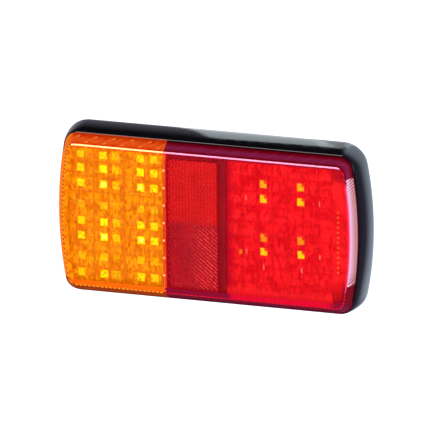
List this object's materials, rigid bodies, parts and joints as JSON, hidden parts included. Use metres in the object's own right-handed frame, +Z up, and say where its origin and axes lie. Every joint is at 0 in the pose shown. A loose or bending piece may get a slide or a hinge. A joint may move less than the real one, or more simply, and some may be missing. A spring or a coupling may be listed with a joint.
{
  "type": "trailer tail light",
  "caption": "Flat rounded-rectangle rear lamp with amber and red lenses, a reflex reflector panel and a black base, on studs.",
  "frame": {"origin": "centre of the gasket's rear face, on the mounting plane", "axes": "+Z up, X along the lamp with the amber end at -X and the number plate window at +X, lenses facing -Y"},
  "size_m": [0.15, 0.0329, 0.0808],
  "materials": {
    "black_plastic": "glossy black moulded plastic",
    "tray_plastic": "satin black moulded plastic",
    "rubber": "matte black rubber",
    "foam": "closed-cell foam rubber",
    "zinc_steel": "zinc-plated steel",
    "amber_lens": "clear glossy amber plastic",
    "red_lens": "clear glossy red plastic",
    "reflex_red": "red prismatic reflector plastic",
    "clear_lens": "clear glossy plastic",
    "white_plastic": "white moulded plastic",
    "circuit_board": "green solder resist on glass-fibre board",
    "led_body": "white LED package with a clear filling",
    "component": "black moulded component body",
    "capacitor_can": "sleeved aluminium can",
    "terminal_green": "green moulded terminal block"
  },
  "bodies": {
    "mounting_base": {"base_housing": "black_plastic", "mounting_gasket": "foam", "cable_grommet": "rubber", "mounting_screw_left": "zinc_steel", "mounting_screw_right": "zinc_steel", "screw_washer_left": "zinc_steel", "screw_washer_right": "zinc_steel", "mounting_nut_left": "zinc_steel", "mounting_nut_right": "zinc_steel"},
    "lamp_module": {"module_tray": "tray_plastic", "module_seal": "rubber", "cable_gland": "rubber", "lens_amber": "amber_lens", "lens_red": "red_lens", "reflex_reflector": "reflex_red", "plate_window": "clear_lens", "reflector_backing": "white_plastic", "indicator_reflector": "white_plastic", "stop_tail_reflector": "white_plastic", "indicator_optic": "amber_lens", "stop_tail_optic": "red_lens", "amber_baffle": "tray_plastic", "reflex_baffle": "tray_plastic", "plate_baffle": "tray_plastic", "circuit_board": "circuit_board", "plate_board": "circuit_board", "board_screw_1": "zinc_steel", "board_screw_2": "zinc_steel", "board_screw_3": "zinc_steel", "board_screw_4": "zinc_steel", "indicator_led_1": "led_body", "indicator_led_2": "led_body", "indicator_led_3": "led_body", "indicator_led_4": "led_body", "stop_tail_led_1": "led_body", "stop_tail_led_2": "led_body", "stop_tail_led_3": "led_body", "stop_tail_led_4": "led_body", "plate_led_1": "led_body", "plate_led_2": "led_body", "resistor_1": "component", "resistor_2": "component", "resistor_3": "component", "resistor_4": "component", "protection_diode": "component", "smoothing_capacitor": "capacitor_can", "terminal_block": "terminal_green"}
  },
  "joints": [
    {"name": "module_release", "type": "slide", "parent": "mounting_base", "child": "lamp_module", "axis": [0, -1, 0], "range_m": [0, 0.025]}
  ]
}
